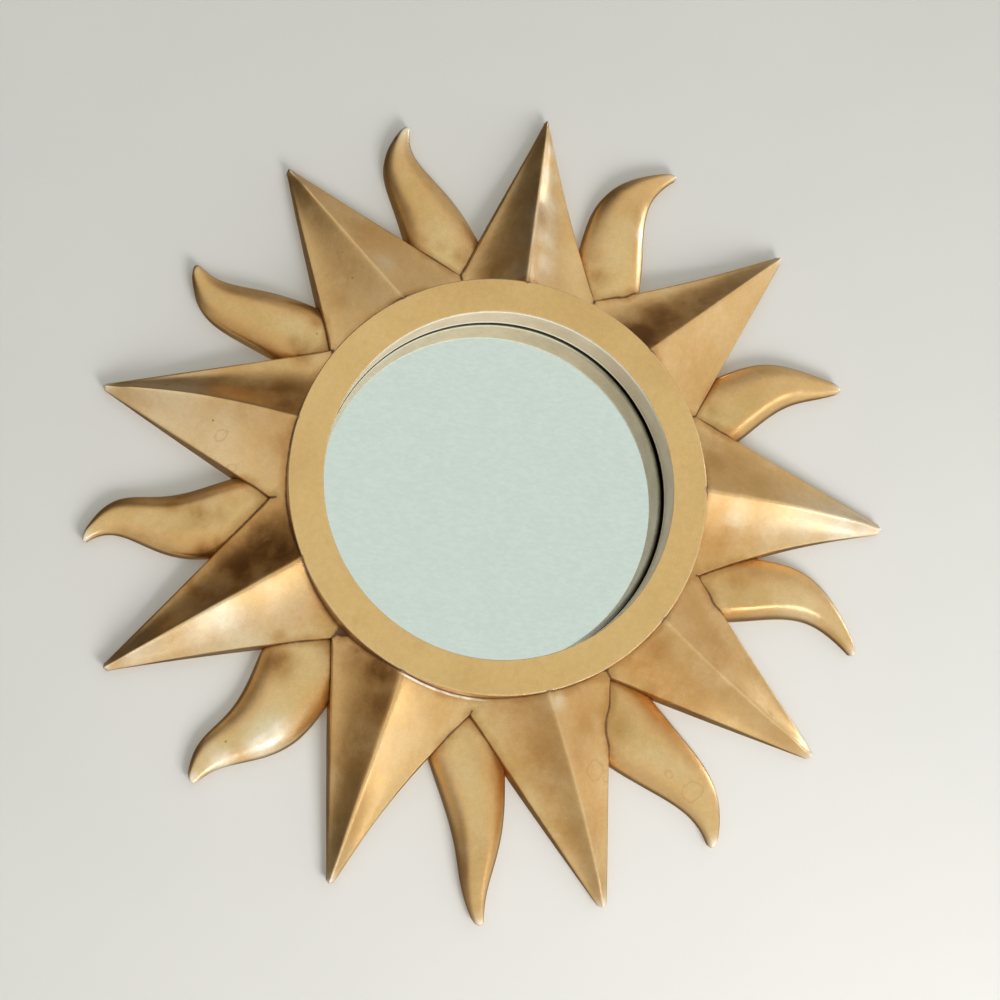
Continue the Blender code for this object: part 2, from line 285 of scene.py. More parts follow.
def straightRay(ray, finish, leftNotch, rightNotch, name):
    share, tipBearing, ridgeBearing, bow, leftHollow, rightHollow = ray
    tipHalf = finish[0] / 1000
    reach = straight["length"] * share
    turn = math.radians(tipBearing)

    def alongAndSide(notchShare, bearing):
        away = math.radians(bearing) - turn
        radius = casting["outerRadius"] + straight["notchDistance"] * notchShare
        return radius * math.cos(away), radius * math.sin(away)

    left = alongAndSide(*leftNotch)
    right = alongAndSide(*rightNotch)
    ridge = alongAndSide(0.0, ridgeBearing)
    tip = casting["outerRadius"] + reach
    noseAt = tip - nose["length"]
    notchAt = (left[0] + right[0]) / 2

    places = [(between(casting["openingRadius"], noseAt, (i / straight["rows"]) ** 1.15), 0.0, 1.0, 1.0)
              for i in range(straight["rows"] + 1)]
    for row in range(1, nose["rows"] + 1):
        passed, wide, high = noseShares(row)
        places.append((between(noseAt, tip, passed), passed, wide, high))

    rows = []
    for at, passed, wide, high in places:
        reached = min(at, noseAt)
        out = max(0.0, (reached - ridge[0]) / (noseAt - ridge[0]))
        arch = reach * math.sin(math.pi * out)
        leftEdge = onLine(left, (noseAt, tipHalf), reached) - leftHollow * arch
        rightEdge = onLine(right, (noseAt, -tipHalf), reached) + rightHollow * arch
        middle = onLine(ridge, (noseAt, 0.0), reached) + bow * arch
        crest = between(ringHeight - straight["ridgeDrop"], straight["tipRidgeHeight"], out)
        edge = onLine((notchAt, straight["notchHeight"]), (noseAt, straight["tipEdgeHeight"]), reached)
        flat = straight["flattening"] * easing(1 - (noseAt - reached) / straight["flatReach"])
        crest -= (crest - edge) * flat

        def heightAt(place):
            side = place / wide
            goesLeft = side >= middle
            half = abs((leftEdge if goesLeft else rightEdge) - middle)
            soft = min(straight["ridgeSoftness"], half * 0.3)
            away = math.hypot(side - middle, soft) - soft
            away = min(1.0, away / (math.hypot(half, soft) - soft))
            height = edge + (crest - edge) * (1 - away) ** finish[1 if goesLeft else 2]
            # inside the notch the facet runs down into the cove that it shares with its neighbour
            corner = left if goesLeft else right
            if reached < corner[0]:
                lean = math.atan2(corner[1], corner[0])
                inward = abs(reached * math.tan(lean)) - abs(side)
                inward *= math.cos(lean)
                radius = math.hypot(reached, side)
                cove = straight["notchHeight"]
                cove += straight["valleyRise"] * (math.hypot(*corner) - radius)
                width = straight["valleyWidth"] * easing((corner[0] - reached) / 0.012 + 0.35)
                if inward >= 0:
                    height = between(cove, height, easing(inward / width))
                else:
                    height = cove + 0.5 * inward
            return height * high

        ends, roundings = [], []
        for sign, rim, corner in ((1, leftEdge, left), (-1, rightEdge, right)):
            lean = math.atan2(corner[1], corner[0])
            beyond = abs(reached * math.tan(lean)) + 0.0012
            inNotch = reached < corner[0] and beyond < abs(rim)
            ends.append((sign * beyond if inNotch else rim) * wide)
            free = easing((reached - corner[0]) / 0.006)
            roundings.append(between(0.0003, straight["rimRounding"], free))
        draft = between(straight["draft"], nose["tipDraft"], out ** 2) * wide
        row = overTheTop(ends, middle * wide, heightAt, roundings, draft, straight["facetPoints"])
        cos, sin = math.cos(turn), math.sin(turn)
        placed = []
        for side, height in row:
            along = at - drawnBack(height, crest, passed)
            x, y = along * cos - side * sin, along * sin + side * cos
            placed.append((x, y, height + (unevenness(x, y) if height > 0.002 else 0.0)))
        rows.append(placed)
    return sheetOverRows(name, rows)


def flameRay(shape, lean, name):
    share, tipBearing, rootBearing, belly, curl, halfWidth, lateness = shape
    reach = flame["length"] * share
    root = math.radians(rootBearing - tipBearing) * casting["outerRadius"]
    noseShare = 1 - nose["length"] / reach
    places = [(-flame["rootInside"] / reach, 0.0, 1.0, 1.0)]
    places += [(noseShare * i / flame["rows"], 0.0, 1.0, 1.0) for i in range(flame["rows"] + 1)]
    for row in range(1, nose["rows"] + 1):
        closed, wide, high = noseShares(row)
        places.append((between(noseShare, 1.0, closed), closed, wide, high))

    rows = []
    for out, closed, wide, high in places:
        radius = casting["outerRadius"] + reach * out
        passed = max(out, 0.0)
        wave = math.pi * passed ** 2
        centre = root * (1 - passed) + reach * (belly * math.sin(wave) + curl * math.sin(2 * wave))
        half = between(halfWidth * reach, flame["tipHalfWidth"], passed ** lateness) * wide
        swell = flame["swell"] * math.sin(math.pi * passed ** flame["swellLean"])
        crest = between(flame["rootHeight"], flame["tipHeight"], passed) + swell

        middle = centre + lean * half * math.sin(math.pi * min(1.0, passed + 0.25)) ** 0.5

        def heightAt(place):
            low = flame["edgeHeight"]
            rim = centre + half if place > middle else centre - half
            off = min(1.0, abs((place - middle) / (rim - middle)))
            return (low + (crest - low) * (1 - off ** flame["roundness"])) * high

        draft = between(flame["draft"], nose["tipDraft"], passed ** 2) * wide
        row = overTheTop((centre + half, centre - half), middle, heightAt,
                         [flame["rimRounding"]] * 2, draft, flame["backPoints"])
        placed = []
        for side, height in row:
            away = radius - drawnBack(height, crest, closed)
            x, y = polar(away, tipBearing + math.degrees(side / radius))
            placed.append((x, y, height + (unevenness(x, y) if height > 0.002 else 0.0)))
        rows.append(placed)
    return sheetOverRows(name, rows)


def makeHub():
    outer, inner = casting["outerRadius"], casting["openingRadius"]
    rounding = casting["edgeRounding"]
    face = [(between(inner - 0.006, outer - rounding, i / 9), ringHeight) for i in range(9)]
    rim = arcPoints((outer - rounding, ringHeight - rounding), rounding, 90, 0, 5)
    wall = [(outer, between(ringHeight - rounding, 0.0, i / 9)) for i in range(1, 10)]
    profile = [(0.0, ringHeight)] + face + rim + wall
    profile += [(outer, -casting["trim"]), (0.0, -casting["trim"])]
    return spinProfile("gilded_sunburst", profile, casting["steps"])


def makeOpeningCutter():
    inner, mouth, rounding = casting["openingRadius"], casting["mouthRadius"], casting["mouthRounding"]
    lip, rebate, above = casting["lipHeight"], casting["rebateRadius"], ringHeight + 0.004
    profile = [(0.0, above), (mouth + rounding, above)]
    profile += arcPoints((mouth + rounding, ringHeight - rounding), rounding, 90, 180, 5)
    profile += [(between(mouth, inner, i / 8), between(ringHeight - rounding, lip + 0.001, i / 8))
                for i in range(1, 9)]
    profile += [(inner + 0.0005, lip + 0.0003), (inner + 0.0012, lip)]
    profile += [(rebate, lip), (rebate, -2 * casting["trim"]), (0.0, -2 * casting["trim"])]
    return spinProfile("openingCutter", profile, casting["steps"])


def boxCutter(name, width, height, bottom, top, centre=(0.0, 0.0)):
    bm = bmesh.new()
    bmesh.ops.create_cube(bm, size=1.0)
    bmesh.ops.scale(bm, verts=bm.verts, vec=(width, height, top - bottom))
    bmesh.ops.translate(bm, verts=bm.verts, vec=(*centre, (top + bottom) / 2))
    return newObject(name, bm)


hanger = {
    "length": hangerHigh.x - hangerLow.x,
    "width": hangerHigh.z - hangerLow.z,
    "thickness": 0.0012,
    "foot": 0.009,
    "recessDepth": 0.0036,
    "recessMargin": 0.004,
    "gap": 0.0003,
    "teeth": 7,
    "toothDepth": 0.0022,
    "toothShare": 0.62,
    "cornerCut": 0.0016,
    "edgeCut": 0.00016,
    "slices": 48,           # across its length, so that it can bend
    "centre": (0.0, (hangerLow.z + hangerHigh.z) / 2 - ringCentre.z),
}

nail = {"headRadius": 0.0026, "headHeight": 0.0010, "shankRadius": 0.0009, "steps": 28}


def makeCasting():
    body = makeHub()
    rays = []
    notches = straight["notches"]
    for i, ray in enumerate(straight["rays"]):
        finish = straight["finish"][i]
        rays.append(straightRay(ray, finish, notches[i - 1], notches[i], f"rawRay{i + 1}"))
    for i, shape in enumerate(flame["flames"]):
        rays.append(flameRay(shape, flame["leans"][i], f"rawFlame{i + 1}"))
    combine(body, rays, "UNION")
    span = 3 * (casting["outerRadius"] + straight["length"])
    margin = 2 * hanger["recessMargin"]
    cutters = [
        makeOpeningCutter(),
        boxCutter("backCutter", span, span, -4 * casting["trim"], 0.0),
        boxCutter("recessCutter", hanger["length"] + margin, hanger["width"] + margin,
                  -casting["trim"], hanger["recessDepth"], hanger["centre"]),
    ]
    combine(body, cutters, "DIFFERENCE")
    return body


creases = {
    "reach": 0.215,         # beyond this distance from the centre no two forms meet
    "foldDegrees": 16,      # a fold sharper than this is a crack
    "spacing": 0.0006,      # between the points that stand for a crack
    "edgeWidth": 0.0009,    # how wide an outer edge wears and is painted as a highlight
    "tipSize": 0.007,       # of the worn place, with its painted highlight, on each tip
}

# marks of age, and painted light and shade: bearing in degrees, distance from the centre and size in
# millimetres, strength
ageingAndLight = {
    "orange": (
        (-56, 190, 16, 0.7), (-12, 190, 16, 0.5), (-40, 162, 16, 0.8), (-66, 205, 14, 0.4),
        (-42, 166, 20, 1), (-43, 196, 24, 0.8), (-4, 170, 20, 0.9), (-4, 193, 24, 0.4),
        (-45, 189, 13, 1), (-81, 206, 13, 0.9), (-74, 168, 16, 0.5), (-62, 178, 14, 0.6),
        (-16, 182, 13, 0.6), (-22, 163, 14, 0.5), (-161, 158, 22, 0.5), (-137, 158, 17, 0.6),
        (178, 160, 20, 0.4), (-98, 160, 14, 0.4), (-122, 165, 16, 0.4), (71, 180, 14, 0.5),
        (-89, 176, 12, 0.4), (-170, 190, 14, 0.6), (41, 180, 16, 0.4),
    ),
    # brown stains, and painted shade at roots, in hollows and under neighbouring rays
    "brown": (
        (-45, 187, 9, 0.55), (-56, 195, 13, 0.5), (-57, 180, 10, 0.45), (-62, 184, 10, 0.4),
        (-66, 200, 9, 0.3), (-65, 190, 8, 0.3), (-80, 204, 7, 0.4), (-122, 163, 13, 0.6),
        (-133, 200, 14, 0.85), (-137, 190, 8, 0.6), (-167, 216, 14, 0.75), (-168, 230, 10, 0.6),
        (-166, 202, 9, 0.5), (-159, 214, 10, 1), (-160, 204, 8, 0.8), (-161, 154, 16, 0.6),
        (178, 155, 12, 0.5), (153, 173, 10, 0.95), (152, 182, 7, 0.6), (145, 179, 6, 0.8),
        (105, 179, 9, 0.9), (110, 189, 7, 0.5), (113, 196, 5, 0.45), (132, 192, 17, 0.45),
        (138, 183, 13, 0.45), (130, 170, 10, 0.35), (97, 170, 16, 0.5), (101, 185, 12, 0.4),
        (72, 186, 9, 0.7), (74, 200, 8, 0.45), (53, 163, 13, 0.6), (29, 178, 9, 0.45),
        (17, 166, 16, 0.45), (-12, 192, 12, 0.45), (-9, 204, 9, 0.3), (-31, 260, 2, 0.9),
        (-128, 155, 7, 1), (-123, 155, 7, 1), (-37, 166, 14, 0.45), (-58, 205, 12, 0.35),
        (-37, 205, 22, 0.28), (-27, 200, 28, 0.3), (13, 190, 28, 0.28), (-86, 195, 12, 0.3),
    ),
    # painted shade: brown darkening, laid only on the facets turned this way, away from the light
    "shadeTowards": 165.0,
    "shade": (
        (-157, 166, 28, 1.3), (-154, 195, 32, 1), (-153, 230, 30, 0.85), (-150, 268, 24, 0.6),
        (-115, 159, 14, 1.2), (-111, 180, 22, 0.75), (-109, 215, 30, 0.6), (55, 159, 18, 1.3),
        (54, 182, 26, 0.95), (52, 215, 30, 0.75), (50, 250, 22, 0.45), (166, 166, 22, 0.85),
        (170, 195, 26, 0.55), (99, 168, 20, 0.55), (-84, 164, 20, 0.65), (-75, 205, 34, 0.6),
        (-72, 250, 26, 0.45), (135, 190, 30, 0.2), (-43, 180, 30, 0.35),
    ),
    # the painted highlight along the ring's foot: its middle's bearing, where it starts inwards along
    # that, and its radius
    "footLineHighlight": (-98, 0.1495, 0.1536),
    # rubbed gilding, paler, and painted highlights on the facets that face the light
    "rubbedAndHighlight": (
        (89, 162, 10, 0.9), (89, 233, 11, 0.6), (4, 272, 28, 0.9), (3, 231, 19, 0.6),
        (-147, 221, 17, 0.9), (-147, 270, 16, 0.6), (-124, 238, 17, 0.9), (-128, 277, 12, 0.6),
        (174, 242, 31, 0.6), (178, 199, 31, 0.45), (-68, 161, 7, 0.9), (111, 276, 10, 0.8),
        (124, 185, 8, 0.6), (123, 231, 7, 0.4), (1, 180, 11, 0.8), (68, 233, 6, 0.7),
        (-14, 256, 16, 0.4), (-31, 297, 8, 0.2), (88, 190, 12, 1), (88, 212, 12, 1),
        (112, 288, 12, 1), (-141, 180, 20, 0.6), (-141, 210, 22, 0.8),
    ),
    # painted highlights: pale patches on the facets turned the other way from the shade
    "paintedHighlights": (
        (86, 174, 9, 0.6), (87, 197, 10, 0.55), (87, 226, 10, 0.5), (88, 250, 9, 0.5),
        (88, 273, 7, 0.45), (0, 209, 12, 0.25), (3, 241, 14, 0.4), (3, 268, 14, 0.55),
        (3, 290, 10, 0.5), (-125, 248, 11, 0.8), (-127, 274, 10, 0.6), (-124, 234, 8, 0.6),
        (-145, 216, 12, 0.45), (-145, 240, 12, 0.35), (-147, 284, 10, 0.4), (175, 248, 22, 0.25),
        (176, 211, 18, 0.2),
    ),
    # rings that drops of varnish dried to: bearing, distance and size, in metres
    "drops": (
        (-49, 0.262, 0.0068), (-51, 0.241, 0.0028), (-63, 0.215, 0.0066), (178, 0.202, 0.0038),
        (-176, 0.191, 0.0022), (33, 0.229, 0.0022), (-61, 0.222, 0.0040),
    ),
}


def spotsOver(places, spots, perMetre=1000):
    total = np.zeros(len(places))
    for bearing, radius, size, strength in spots:
        x, y = polar(radius / perMetre, bearing)
        away = ((places[:, 0] - x) ** 2 + (places[:, 1] - y) ** 2) / (size / perMetre) ** 2
        total = np.maximum(total, strength * np.exp(-away))
    return total


def markCreases(thing):
    # writes to each point its distance from a crack, its wear and painted highlight as an outer edge,
    # and its marks of age and painted light and shade
    bm = bmesh.new()
    bm.from_mesh(thing.data)
    cracks = []
    outerEdge = np.zeros(len(bm.verts))
    for edge in bm.edges:
        if len(edge.link_faces) != 2:
            continue
        angle = edge.calc_face_angle_signed(0.0)
        a, b = edge.verts
        out = (a.co + b.co).xy.length / 2
        folded = angle < -math.radians(creases["foldDegrees"])
        if folded and max(a.co.z, b.co.z) > 0.0005 and out < creases["reach"]:
            count = max(1, round(edge.calc_length() / creases["spacing"]))
            cracks += [a.co.lerp(b.co, (i + 0.5) / count) for i in range(count)]
        length = edge.calc_length()
        area = sum(face.calc_area() for face in edge.link_faces)
        if angle > 0.02 and area > 1e-10:
            bend = min(1.0, angle * length / area * 2 * creases["edgeWidth"])
            for vert in edge.verts:
                outerEdge[vert.index] = max(outerEdge[vert.index], bend)
    pairs = np.array([[v.index for v in edge.verts] for edge in bm.edges])
    degree = np.bincount(pairs.ravel(), minlength=len(bm.verts))
    for _ in range(3):
        total = np.bincount(pairs[:, 0], outerEdge[pairs[:, 1]], len(bm.verts))
        total += np.bincount(pairs[:, 1], outerEdge[pairs[:, 0]], len(bm.verts))
        outerEdge = 0.5 * outerEdge + 0.5 * total / np.maximum(degree, 1)
    tree = kdtree.KDTree(len(cracks))
    for i, point in enumerate(cracks):
        tree.insert(point, i)
    tree.balance()
    distance = np.array([tree.find(vert.co)[2] for vert in bm.verts])
    places = np.array([vert.co for vert in bm.verts])
    turned = Vector((*polar(1.0, ageingAndLight["shadeTowards"]), 0.0))
    turned = np.array([vert.normal.dot(turned) for vert in bm.verts])
    bm.free()
    beyondRing = np.hypot(places[:, 0], places[:, 1]) > casting["outerRadius"] - 0.0005
    onFront = (places[:, 2] > 0.004) & beyondRing
    # the tips are worn pale and carry a painted highlight
    tipSpots = [(shape[1], casting["outerRadius"] + kind["length"] * shape[0], creases["tipSize"], wearAndHighlight)
                for kind, shapes in ((straight, straight["rays"]), (flame, flame["flames"]))
                for shape, wearAndHighlight in zip(shapes, kind["wearAndHighlight"])]
    shaded = np.clip(turned / 0.25, 0.0, 1.0)
    paintedHighlights = spotsOver(places, ageingAndLight["paintedHighlights"]) * np.clip(0.5 - turned / 0.2, 0.0, 1.0)
    marks = {name: spotsOver(places, ageingAndLight[name]) * onFront
             for name in ("orange", "brown", "shade", "rubbedAndHighlight")}
    # the painted shade lies only on the facets turned away from the light
    marks["shade"] = marks["shade"] * shaded
    marks["wornAndHighlight"] = np.maximum(spotsOver(places, tipSpots, 1), paintedHighlights) * onFront
    marks["crackDistance"] = distance * 1000    # in millimetres
    marks["outerEdge"] = outerEdge
    for name, values in marks.items():
        attribute = thing.data.attributes.new(name, "FLOAT", "POINT")
        attribute.data.foreach_set("value", values.astype(np.float32))


sunburst = makeCasting()
print("casting joined:", len(sunburst.data.polygons), "faces")
markCreases(sunburst)
standAgainstWall(sunburst, 32)


# Materials

def newMaterial(name):
    material = bpy.data.materials.new(name)
    material.use_nodes = True
    return material, material.node_tree, material.node_tree.nodes["Principled BSDF"]


def addNode(tree, kind, **values):
    node = tree.nodes.new("ShaderNode" + kind)
    for key, value in values.items():
        setattr(node, key, value)
    return node


def feed(tree, socket, value):
    if isinstance(value, bpy.types.NodeSocket):
        tree.links.new(value, socket)
    else:
        socket.default_value = value


def objectPoint(tree, scale=(1.0, 1.0, 1.0)):
    mapping = addNode(tree, "Mapping")
    mapping.inputs["Scale"].default_value = scale
    tree.links.new(addNode(tree, "TexCoord").outputs["Object"], mapping.inputs["Vector"])
    return mapping.outputs["Vector"]


def cloud(tree, point, scale, detail=4.0, roughness=0.55, seed=0.0):
    node = addNode(tree, "TexNoise", noise_dimensions="4D")
    tree.links.new(point, node.inputs["Vector"])
    node.inputs["Scale"].default_value = scale
    node.inputs["Detail"].default_value = detail
    node.inputs["Roughness"].default_value = roughness
    node.inputs["W"].default_value = seed
    return node.outputs["Fac"]


def ranged(tree, value, low, high, toLow=0.0, toHigh=1.0, smooth=True):
    node = addNode(tree, "MapRange", interpolation_type="SMOOTHSTEP" if smooth else "LINEAR")
    for name, given in (("Value", value), ("From Min", low), ("From Max", high),
                        ("To Min", toLow), ("To Max", toHigh)):
        feed(tree, node.inputs[name], given)
    return node.outputs["Result"]


def sums(tree, operation, a, b, clamp=False):
    node = addNode(tree, "Math", operation=operation, use_clamp=clamp)
    feed(tree, node.inputs[0], a)
    feed(tree, node.inputs[1], b)
    return node.outputs["Value"]


def times(tree, a, b):
    return sums(tree, "MULTIPLY", a, b)


def plus(tree, a, b, clamp=False):
    return sums(tree, "ADD", a, b, clamp)


def minus(tree, a, b):
    return sums(tree, "SUBTRACT", a, b)


def most(tree, a, b):
    return sums(tree, "MAXIMUM", a, b)


def mixColour(tree, share, a, b):
    node = addNode(tree, "Mix", data_type="RGBA")
    feed(tree, node.inputs["Factor"], share)
    for socket, value in ((node.inputs[6], a), (node.inputs[7], b)):
        feed(tree, socket, value if isinstance(value, bpy.types.NodeSocket) else (*value, 1.0))
    return node.outputs[2]


def bumped(tree, shader, height, distance, strength=1.0):
    bump = addNode(tree, "Bump")
    bump.inputs["Strength"].default_value = strength
    bump.inputs["Distance"].default_value = distance
    tree.links.new(height, bump.inputs["Height"])
    tree.links.new(bump.outputs["Normal"], shader.inputs["Normal"])


def attributeOf(tree, name):
    return addNode(tree, "Attribute", attribute_name=name).outputs["Fac"]


def fromCentre(tree, point):
    # the way from the ring's centre, along the wall, and its length
    way = addNode(tree, "VectorMath", operation="MULTIPLY_ADD")
    tree.links.new(point, way.inputs[0])
    way.inputs[1].default_value = (1.0, 0.0, 1.0)
    way.inputs[2].default_value = (-ringCentre.x, 0.0, -ringCentre.z)
    span = addNode(tree, "VectorMath", operation="LENGTH")
    tree.links.new(way.outputs["Vector"], span.inputs[0])
    return way.outputs["Vector"], span.outputs["Value"]


def reachTowards(tree, way, bearing):
    x, y = polar(1.0, bearing)
    node = addNode(tree, "VectorMath", operation="DOT_PRODUCT")
    tree.links.new(way, node.inputs[0])
    node.inputs[1].default_value = (x, 0.0, y)
    return node.outputs["Value"]


gold = {
    "deep": (0.78, 0.485, 0.19),
    "middle": (0.90, 0.595, 0.263),
    "pale": (0.96, 0.72, 0.40),
    "rubbedAndHighlight": (1.0, 0.86, 0.62),
    "wornAndHighlight": (1.0, 0.93, 0.79),
    "ring": (0.915, 0.60, 0.255),
    "ringWorn": (0.81, 0.51, 0.205),
    "orange": (0.70, 0.36, 0.11),
    "brownish": (0.56, 0.285, 0.085),
    "patinaAndShade": (0.21, 0.085, 0.018),
    "crack": (0.07, 0.022, 0.004),
    "recess": (0.80, 0.655, 0.45),
    "recessShade": (0.69, 0.55, 0.36),
    "recessEdgeHighlight": (1.0, 0.94, 0.78),
    "rebate": (0.03, 0.016, 0.005),
    "gap": (0.16, 0.115, 0.06),
    "mouth": (1.0, 1.0, 0.92),
    "raw": (0.50, 0.41, 0.285),
    "rawPale": (0.54, 0.45, 0.32),
}


def makeGold():
    material, tree, shader = newMaterial("antiqueGold")
    point = objectPoint(tree)
    broad = cloud(tree, point, 9.0, 3.0, seed=1.3)
    blotch = cloud(tree, point, 34.0, 5.0, 0.6, 4.1)
    fine = cloud(tree, point, 210.0, 4.0, 0.6, 7.7)
    smearing = cloud(tree, point, 90.0, 3.0, 0.5, 5.5)
    grain = cloud(tree, point, 1300.0, 3.0, 0.6, 2.2)
    parts = addNode(tree, "SeparateXYZ")
    tree.links.new(point, parts.inputs["Vector"])
    wallGap = times(tree, parts.outputs["Y"], -1.0)

    centred, radius = fromCentre(tree, point)

    # the ring's flat face is smoother and more even than the rays
    outerRadius, lip = casting["outerRadius"], casting["lipHeight"]
    opening, rebate = casting["openingRadius"], casting["rebateRadius"]
    faceOn = times(tree, ranged(tree, wallGap, ringHeight - 0.0022, ringHeight - 0.0008),
                   ranged(tree, radius, outerRadius, outerRadius + 0.0006, 1.0, 0.0))
    recessed = times(tree, ranged(tree, radius, opening + 0.0006, opening + 0.0012, 1.0, 0.0),
                     ranged(tree, wallGap, ringHeight - 0.0006, ringHeight - 0.0003, 1.0, 0.0))
    rebated = times(tree, ranged(tree, radius, rebate + 0.0001, rebate + 0.0003, 1.0, 0.0),
                    ranged(tree, wallGap, lip + 0.0001, lip + 0.0003, 1.0, 0.0))
    # the flat back has no cracks: long triangles there would draw them straight across
    crack = plus(tree, attributeOf(tree, "crackDistance"),
                 ranged(tree, wallGap, 0.0004, 0.0020, 30.0, 0.0))
    outer = attributeOf(tree, "outerEdge")

    colour = mixColour(tree, ranged(tree, broad, 0.38, 0.62), gold["deep"], gold["middle"])
    colour = mixColour(tree, ranged(tree, blotch, 0.40, 0.72, 0.0, 0.55), colour, gold["pale"])
    dulled = gold["ringWorn"]
    ringColour = mixColour(tree, ranged(tree, broad, 0.40, 0.66, 0.0, 0.8), gold["ring"], dulled)
    ringColour = mixColour(tree, ranged(tree, smearing, 0.55, 0.75, 0.0, 0.5), ringColour, dulled)
    colour = mixColour(tree, faceOn, colour, ringColour)
    # outer edges are paler, partly from wear and partly as a painted highlight
    wearAndHighlight = times(tree, ranged(tree, outer, 0.15, 0.75), ranged(tree, fine, 0.3, 0.6, 0.45, 1.0))
    colour = mixColour(tree, times(tree, wearAndHighlight, 0.65), colour, gold["pale"])

    # rubbed gilding and painted highlights: paler colour in places
    rubbedAndHighlight = times(tree, attributeOf(tree, "rubbedAndHighlight"), ranged(tree, blotch, 0.3, 0.6, 0.55, 1.0))
    colour = mixColour(tree, times(tree, rubbedAndHighlight, 0.8), colour, gold["rubbedAndHighlight"])
    # painted highlight: the ring's rounded rim is paler in places
    rim = times(tree, ranged(tree, radius, outerRadius - 0.0018, outerRadius - 0.0008),
                ranged(tree, wallGap, ringHeight - 0.0026, ringHeight - 0.0014))
    rim = times(tree, rim, ranged(tree, smearing, 0.35, 0.60, 0.1, 0.7))
    colour = mixColour(tree, rim, colour, gold["pale"])

    # patina and painted shade gather in a ragged band along the cracks, stains and painted shade in the
    # smears, and dirt in the cracks themselves
    ragged = plus(tree, crack, times(tree, minus(tree, blotch, 0.5), 20.0))
    patinaAndShade = ranged(tree, ragged, 0.0, 9.0, 0.50, 0.0)
    # brown stains and painted shade, laid on as smears
    brown = most(tree, attributeOf(tree, "brown"), attributeOf(tree, "shade"))
    smearsAndShade = times(tree, brown, ranged(tree, blotch, 0.35, 0.65, 0.95, 0.5))
    patinaAndShade = most(tree, patinaAndShade, smearsAndShade)
    # painted shade: brown darkening round the foot of the ring, where the rays meet it
    foot = plus(tree, radius, times(tree, minus(tree, smearing, 0.5), -0.004))
    foot = ranged(tree, foot, outerRadius, outerRadius + 0.0065, 0.85, 0.0)
    offBack = ranged(tree, wallGap, 0.003, 0.006)
    foot = times(tree, foot, offBack)
    foot = times(tree, foot, ranged(tree, broad, 0.35, 0.60, 1.0, 0.35))
    patinaAndShade = most(tree, patinaAndShade, foot)
    # painted highlight: a pale line along one stretch of the joint under the ring, where its rounded
    # foot catches the light
    bearing, inside, outside = ageingAndLight["footLineHighlight"]
    along = reachTowards(tree, centred, bearing)
    footLineHighlight = ranged(tree, sums(tree, "ABSOLUTE", minus(tree, radius, outside), 0.0),
                     0.0004, 0.0012, 1.0, 0.0)
    footLineHighlight = times(tree, footLineHighlight, ranged(tree, along, inside, inside + 0.002))
    footLineHighlight = times(tree, footLineHighlight, ranged(tree, smearing, 0.36, 0.56, 0.25, 1.0))
    footLineHighlight = times(tree, footLineHighlight, offBack)
    for bearing, away, size in ageingAndLight["drops"]:
        x, y = polar(away, bearing)
        apart = addNode(tree, "VectorMath", operation="DISTANCE")
        tree.links.new(centred, apart.inputs[0])
        apart.inputs[1].default_value = (x, 0.0, y)
        wobble = sums(tree, "MULTIPLY_ADD", smearing, 0.010)
        wobble.node.inputs[2].default_value = -0.005 - size
        offRing = sums(tree, "ABSOLUTE", plus(tree, apart.outputs["Value"], wobble), 0.0)
        patinaAndShade = most(tree, patinaAndShade, ranged(tree, offRing, 0.0002, 0.0014, 0.24, 0.0))
    patinaAndShade = times(tree, patinaAndShade, minus(tree, 1.0, faceOn))
    copper = times(tree, attributeOf(tree, "orange"), ranged(tree, smearing, 0.35, 0.65, 0.95, 0.45))
    colour = mixColour(tree, copper, colour, gold["orange"])
    colour = mixColour(tree, ranged(tree, patinaAndShade, 0.0, 0.7, 0.0, 0.9), colour, gold["brownish"])
    colour = mixColour(tree, ranged(tree, patinaAndShade, 0.45, 1.0, 0.0, 0.85), colour, gold["patinaAndShade"])
    dirty = ranged(tree, plus(tree, crack, times(tree, fine, 0.9)), 0.6, 2.3, 1.0, 0.0)
    colour = mixColour(tree, times(tree, dirty, 0.9), colour, gold["crack"])
    colour = mixColour(tree, times(tree, footLineHighlight, 0.85), colour, gold["wornAndHighlight"])
    # the tips and the painted highlight patches are pale, and less metallic
    wornAndHighlight = times(tree, attributeOf(tree, "wornAndHighlight"), ranged(tree, fine, 0.3, 0.6, 0.75, 1.0))
    colour = mixColour(tree, wornAndHighlight, colour, gold["wornAndHighlight"])

    # small pits and specks left by bubbles in the mould
    pits = addNode(tree, "TexVoronoi", feature="F1")
    tree.links.new(point, pits.inputs["Vector"])
    pits.inputs["Scale"].default_value = 58.0
    pick = ranged(tree, cloud(tree, point, 20.0, 2.0, 0.5, 9.4), 0.60, 0.66)
    pit = times(tree, ranged(tree, pits.outputs["Distance"], 0.03, 0.075, 1.0, 0.0), pick)
    colour = mixColour(tree, times(tree, pit, 0.7), colour, gold["patinaAndShade"])

    # the back was never gilded, but paint ran over its edges
    behind = ranged(tree, wallGap, 0.0002, 0.0012, 1.0, 0.0)
    overspray = ranged(tree, cloud(tree, point, 14.0, 5.0, 0.65, 3.0), 0.44, 0.60, 1.0, 0.25)
    bare = times(tree, behind, overspray)
    rawColour = mixColour(tree, ranged(tree, fine, 0.3, 0.7), gold["raw"], gold["rawPale"])
    colour = mixColour(tree, bare, colour, rawColour)
    uneven = ranged(tree, blotch, 0.35, 0.65)
    recessColour = mixColour(tree, uneven, gold["recess"], gold["recessShade"])
    aboveLip = minus(tree, wallGap, lip)
